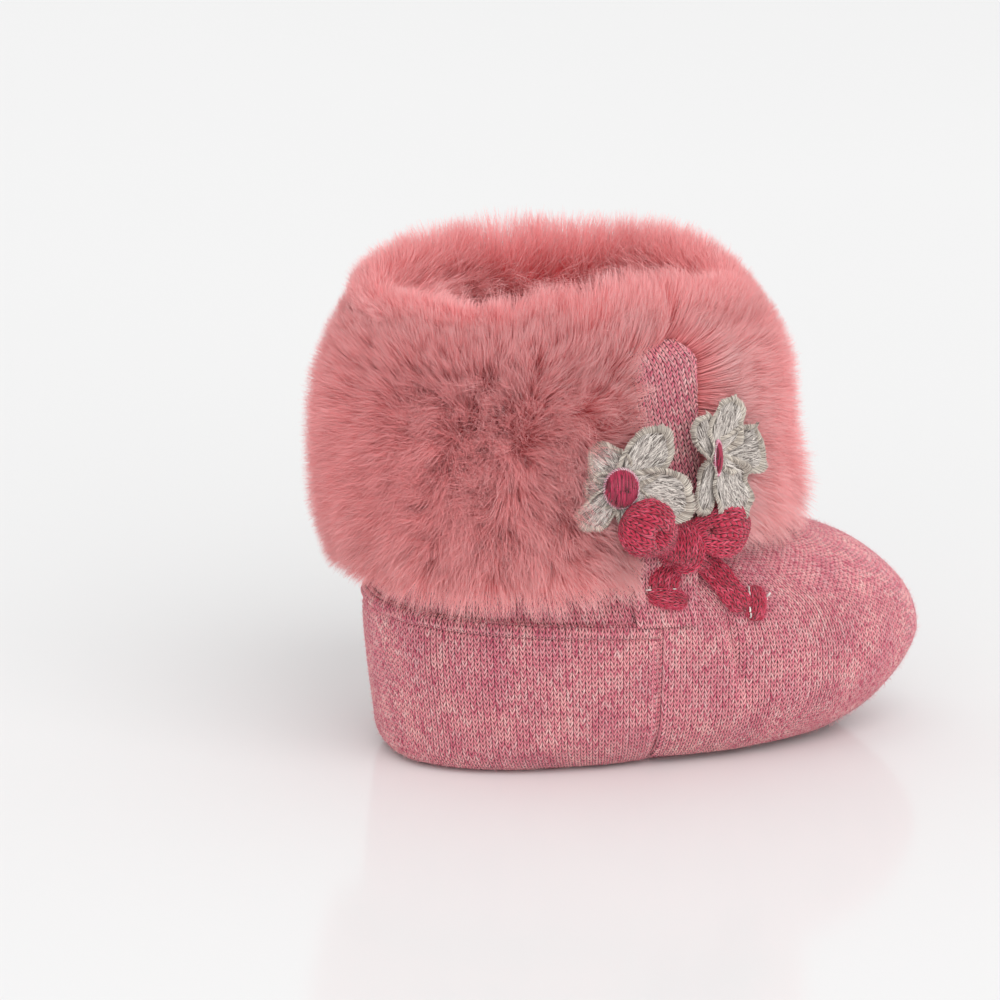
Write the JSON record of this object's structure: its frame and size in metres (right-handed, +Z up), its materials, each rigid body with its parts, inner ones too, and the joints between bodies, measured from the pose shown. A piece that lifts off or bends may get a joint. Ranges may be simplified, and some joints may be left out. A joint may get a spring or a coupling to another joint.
{
  "type": "baby bootie",
  "caption": "Soft knitted baby bootie with a heel band, a turned-down faux fur cuff and a sewn flower and bow trim on its outer side.",
  "frame": {"origin": "on the ground under the middle of the knitted shoe's length, on the outsole's flat face", "axes": "+X towards the toe, +Z up, -Y towards the decorated outer side"},
  "size_m": [0.1233, 0.0845, 0.099],
  "materials": {
    "knit": "heathered fine jersey knit, matte",
    "fur": "long soft faux fur pile",
    "lining": "smooth cotton jersey, matte",
    "padding": "soft wadding",
    "embroidery": "satin stitch in silver-grey metallic thread",
    "cord": "soft knitted yarn, matte",
    "sewing_thread": "sewing thread",
    "silver_thread": "metallic silver thread"
  },
  "bodies": {
    "root": {"outsole": "knit", "sole_padding": "padding", "insole": "lining", "heel_band": "knit", "heel_band_topstitch": "sewing_thread", "rear_quarter": "knit", "heel_padding": "padding", "heel_lining": "lining", "vamp": "knit", "toe_padding": "padding", "toe_lining": "lining", "side_strip": "knit", "fur_cuff_rear": "fur", "fur_cuff_front": "fur", "left_flower_petals": "embroidery", "left_flower_border": "embroidery", "left_flower_centre": "cord", "right_flower_petals": "embroidery", "right_flower_border": "embroidery", "right_flower_centre": "cord", "bow_knot": "cord", "bow_left_loop": "cord", "bow_right_loop": "cord", "bow_left_tail": "cord", "bow_right_tail": "cord", "bow_left_tail_fold": "cord", "bow_right_tail_fold": "cord", "bow_tack_stitches": "silver_thread", "vamp_stitching": "sewing_thread"}
  },
  "joints": []
}
